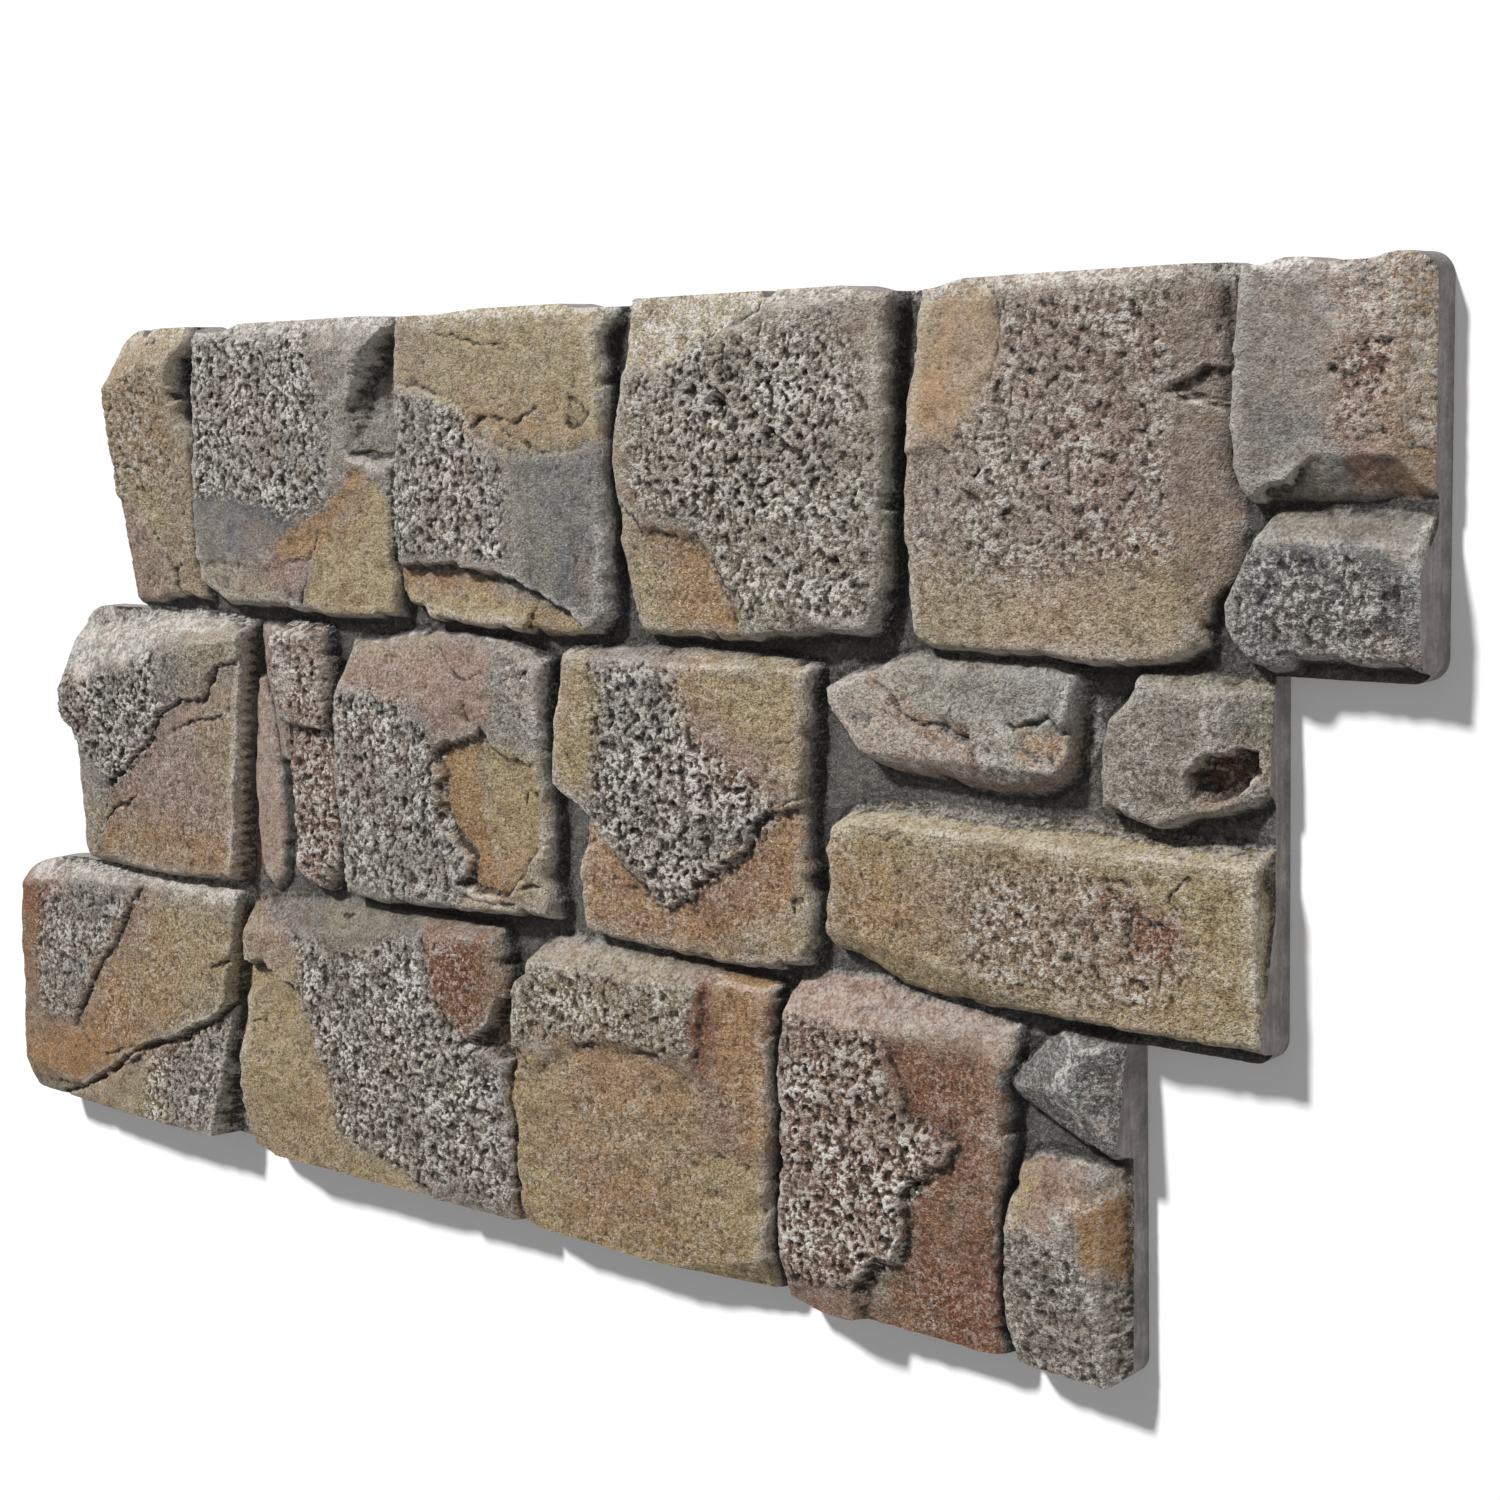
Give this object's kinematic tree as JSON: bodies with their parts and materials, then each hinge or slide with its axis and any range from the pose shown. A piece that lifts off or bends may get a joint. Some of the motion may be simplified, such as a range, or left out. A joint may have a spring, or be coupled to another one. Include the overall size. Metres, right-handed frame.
{
  "type": "faux stone wall panel",
  "caption": "Rigid foam wall panel moulded as courses of rough split stone with dark recessed joints, with stepped ends that interlock with the next panel.",
  "frame": {"origin": "centre of the flat back face, halfway along the whole length and the whole height", "axes": "+X along the courses, +Y up the wall, +Z out of the stone face"},
  "size_m": [1.2, 0.6, 0.0451],
  "materials": {
    "painted_foam": "matt painted stone texture"
  },
  "bodies": {
    "root": {"wall_panel": "painted_foam"}
  },
  "joints": []
}
